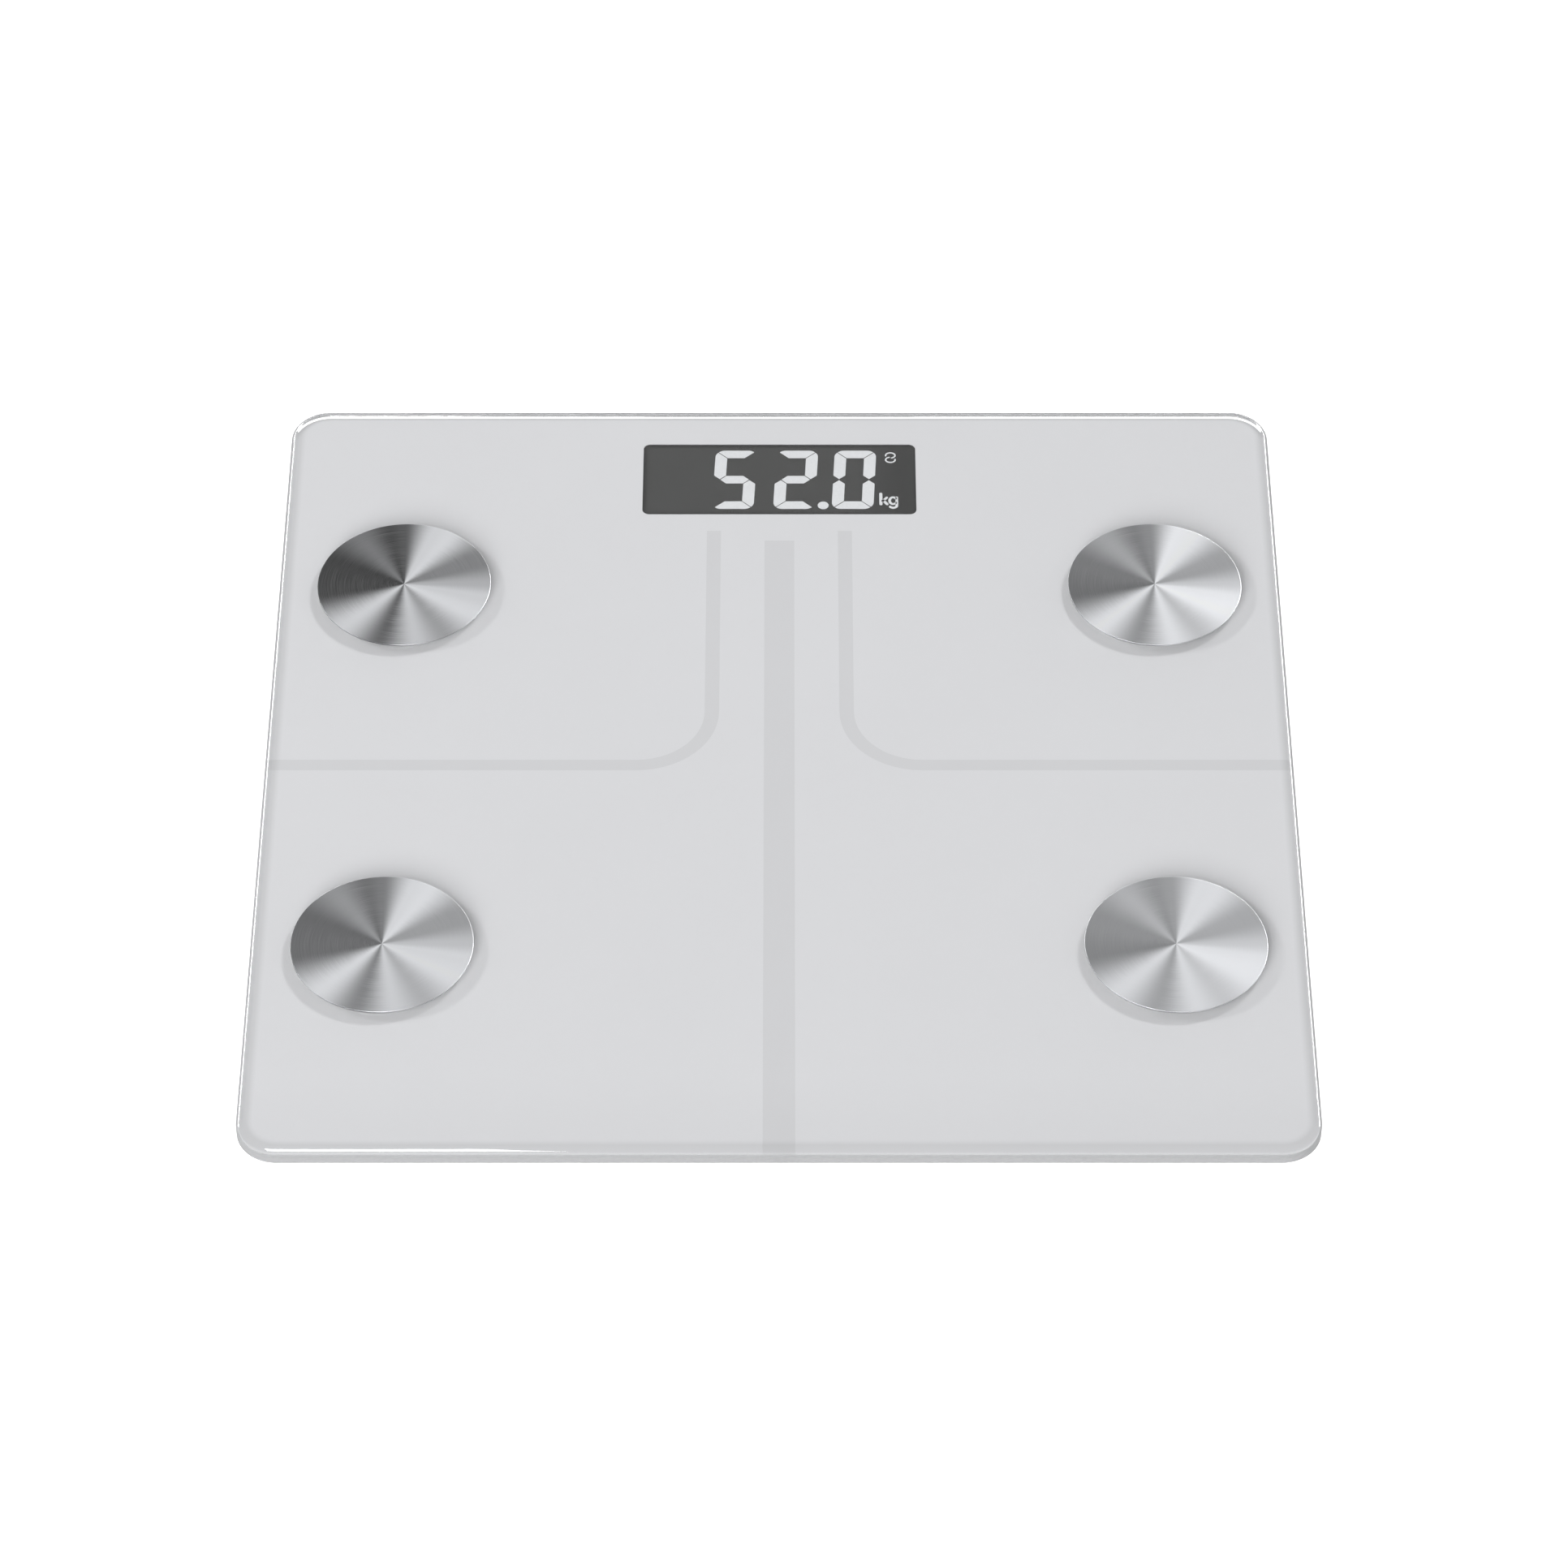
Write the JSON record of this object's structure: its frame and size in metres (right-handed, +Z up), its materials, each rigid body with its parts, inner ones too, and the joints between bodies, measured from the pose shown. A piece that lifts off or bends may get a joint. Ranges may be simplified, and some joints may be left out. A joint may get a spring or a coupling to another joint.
{
  "type": "digital bathroom scale",
  "caption": "Flat square bathroom scale: glass platform with round steel electrodes and a display window over a shallow plastic base that stands on load-cell feet.",
  "frame": {"origin": "centre of the four feet, on the floor", "axes": "+Z up, +Y from the user's side to the display's side, +X to the user's right"},
  "size_m": [0.26, 0.26, 0.0244],
  "materials": {
    "glass": "clear tempered glass, polished edge",
    "back_print": "pale grey ink behind the glass",
    "printed_lines": "slightly darker grey ink behind the glass",
    "electrode_steel": "circular brushed",
    "adhesive": "soft white tape",
    "housing": "fine moulded texture",
    "spacer_plastic": "moulded",
    "cell_steel": "nickel plated",
    "gauge": "silicone-coated film",
    "foot_plastic": "fine moulded texture",
    "foot_rubber": "matt grey rubber",
    "fixing_steel": "zinc plated",
    "lcd": "dark display glass",
    "backlight": "light guide",
    "black_plastic": "moulded",
    "contact_strip": "striped silicone",
    "circuit_board": "green solder mask",
    "chip": "moulded",
    "tin": "tinned",
    "cell_wrap": "printed sleeve, plain",
    "spring_steel": "nickel plated",
    "button_plastic": "moulded",
    "label": "blank film",
    "wire": "vinyl insulation"
  },
  "bodies": {
    "platform": {"glass_platform": "glass", "back_print": "back_print", "printed_lines": "printed_lines", "adhesive_frame": "adhesive", "base_housing": "housing", "cell_retainers": "spacer_plastic", "electrode_bonds": "adhesive", "electrode_studs": "fixing_steel", "electrode_washers": "fixing_steel", "electrode_nuts": "fixing_steel", "lcd_panel": "lcd", "lcd_backlight": "backlight", "lcd_holder": "black_plastic", "lcd_contact_strip": "contact_strip", "main_board": "circuit_board", "processor_chip": "chip", "converter_chip": "chip", "wireless_module": "tin", "crystal": "tin", "capacitors": "tin", "unit_switch": "black_plastic", "board_screws": "fixing_steel", "holder_screws": "fixing_steel", "battery_cells": "cell_wrap", "battery_springs": "spring_steel", "battery_plates": "spring_steel", "rating_label": "label", "load_cell_wires": "wire", "electrode_wires": "wire", "battery_wires": "wire", "electrode_front_left": "electrode_steel", "load_cell_frame_front_left": "cell_steel", "electrode_front_right": "electrode_steel", "load_cell_frame_front_right": "cell_steel", "electrode_rear_left": "electrode_steel", "load_cell_frame_rear_left": "cell_steel", "electrode_rear_right": "electrode_steel", "load_cell_frame_rear_right": "cell_steel"},
    "foot_front_left": {"load_cell_beam_front_left": "cell_steel", "strain_gauge_front_left": "gauge", "foot_cap_front_left": "foot_plastic", "foot_pad_front_left": "foot_rubber"},
    "foot_front_right": {"load_cell_beam_front_right": "cell_steel", "strain_gauge_front_right": "gauge", "foot_cap_front_right": "foot_plastic", "foot_pad_front_right": "foot_rubber"},
    "foot_rear_left": {"load_cell_beam_rear_left": "cell_steel", "strain_gauge_rear_left": "gauge", "foot_cap_rear_left": "foot_plastic", "foot_pad_rear_left": "foot_rubber"},
    "foot_rear_right": {"load_cell_beam_rear_right": "cell_steel", "strain_gauge_rear_right": "gauge", "foot_cap_rear_right": "foot_plastic", "foot_pad_rear_right": "foot_rubber"},
    "unit_button": {"unit_button": "button_plastic", "switch_plunger": "black_plastic"},
    "battery_door": {"battery_door": "housing"}
  },
  "joints": [
    {"name": "foot_front_left_press", "type": "slide", "parent": "platform", "child": "foot_front_left", "axis": [0, 0, 1], "range_m": [0, 0.0005], "stiffness_N_per_m": 8000, "springref_m": -0.001},
    {"name": "foot_front_right_press", "type": "slide", "parent": "platform", "child": "foot_front_right", "axis": [0, 0, 1], "range_m": [0, 0.0005], "stiffness_N_per_m": 8000, "springref_m": -0.001},
    {"name": "foot_rear_left_press", "type": "slide", "parent": "platform", "child": "foot_rear_left", "axis": [0, 0, 1], "range_m": [0, 0.0005], "stiffness_N_per_m": 8000, "springref_m": -0.001},
    {"name": "foot_rear_right_press", "type": "slide", "parent": "platform", "child": "foot_rear_right", "axis": [0, 0, 1], "range_m": [0, 0.0005], "stiffness_N_per_m": 8000, "springref_m": -0.001},
    {"name": "unit_button_press", "type": "slide", "parent": "platform", "child": "unit_button", "axis": [0, 0, 1], "range_m": [0, 0.0005], "stiffness_N_per_m": 1600, "springref_m": -0.0005},
    {"name": "battery_door_hinge", "type": "hinge", "parent": "platform", "child": "battery_door", "pos_m": [0, -0.0184, 0.0063], "axis": [-1, 0, 0], "range_deg": [0, 95]}
  ]
}
